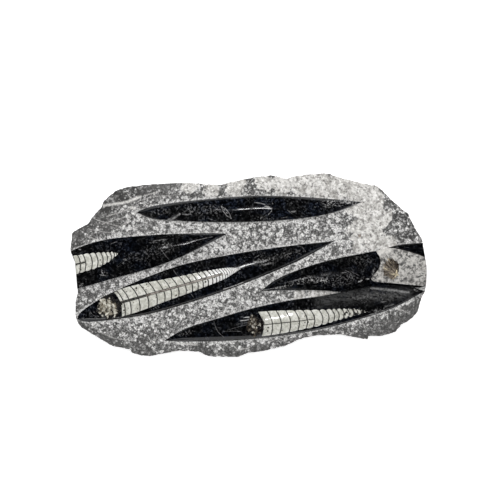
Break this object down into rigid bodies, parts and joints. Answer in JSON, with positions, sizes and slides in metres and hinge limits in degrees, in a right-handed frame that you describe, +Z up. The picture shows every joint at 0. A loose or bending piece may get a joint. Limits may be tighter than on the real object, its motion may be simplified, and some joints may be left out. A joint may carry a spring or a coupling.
{
  "type": "orthoceras fossil slab",
  "caption": "Flat slab of chiselled grey limestone with polished black straight-shelled fossils in relief, some showing white chambered shells.",
  "frame": {"origin": "middle of the slab's footprint, on its flat underside", "axes": "+X along the slab's length towards the pale calcite end, +Y across it towards the long top fossil, +Z up out of the carved face"},
  "size_m": [0.2996, 0.1542, 0.033],
  "materials": {
    "chiselled_limestone": "matt grey limestone, chiselled and pecked with white tool marks, with cream calcite veins",
    "polished_black_limestone": "black limestone polished to a gloss, with faint pale fossil fragments",
    "white_calcite_chambers": "polished cream-white calcite, crossed by thin dark septa and a grey-brown siphuncle",
    "pale_calcite": "pale grey mottled calcite, satin",
    "calcite_crystals": "grown-together cream and brown calcite crystals, satin"
  },
  "bodies": {
    "root": {"matrix_slab": "chiselled_limestone", "fossil_top": "polished_black_limestone", "fossil_left": "polished_black_limestone", "fossil_centre": "polished_black_limestone", "fossil_right": "polished_black_limestone", "fossil_bottom": "polished_black_limestone", "fossil_edge": "polished_black_limestone", "chambers_left": "white_calcite_chambers", "chambers_centre": "white_calcite_chambers", "chambers_bottom": "white_calcite_chambers", "calcite_end_right": "pale_calcite", "crystals_centre": "calcite_crystals", "crystals_bottom": "calcite_crystals", "crystals_right": "calcite_crystals"}
  },
  "joints": []
}
